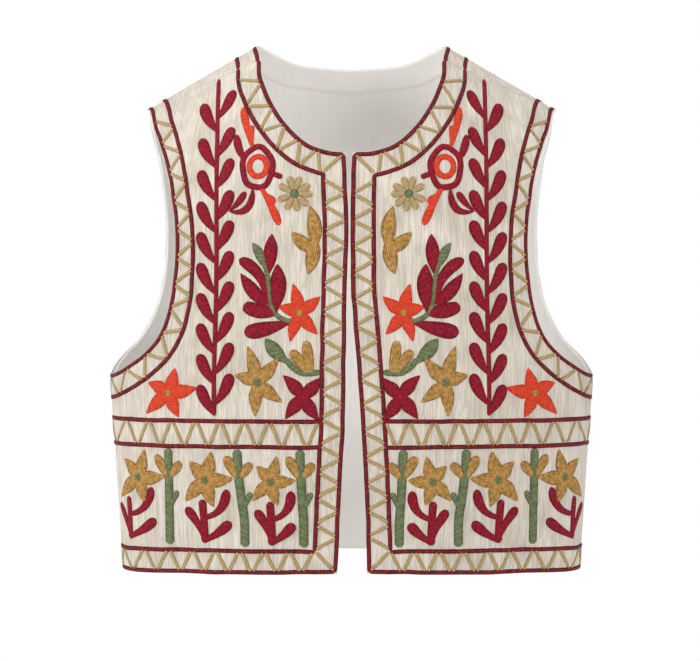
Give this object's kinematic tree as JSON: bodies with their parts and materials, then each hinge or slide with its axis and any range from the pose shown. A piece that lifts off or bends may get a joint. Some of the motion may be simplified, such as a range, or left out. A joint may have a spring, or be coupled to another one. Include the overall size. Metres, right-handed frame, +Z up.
{
  "type": "embroidered cropped waistcoat in its worn form",
  "caption": "Hollow worn waistcoat, open down the front, with round neck, wide armholes and cropped straight hem.",
  "frame": {"origin": "on the centre line, at the height of the middle of the shoulders and halfway between the front and the back, where the wearer's shoulders hold it", "axes": "+Z up, the fronts face -Y, +X to the right of someone who looks at the fronts, which is the wearer's left"},
  "size_m": [0.4624, 0.2018, 0.5023],
  "materials": {
    "cotton_gauze": "crinkled, matt",
    "cotton_lining": "plain, matt",
    "crimson_thread": "satin stitch",
    "border_thread": "chain stitch",
    "orange_thread": "satin stitch",
    "gold_thread": "satin stitch",
    "green_thread": "satin stitch"
  },
  "bodies": {
    "root": {"front_right": "cotton_gauze", "front_left": "cotton_gauze", "back": "cotton_gauze", "back_lining": "cotton_lining"}
  },
  "joints": []
}
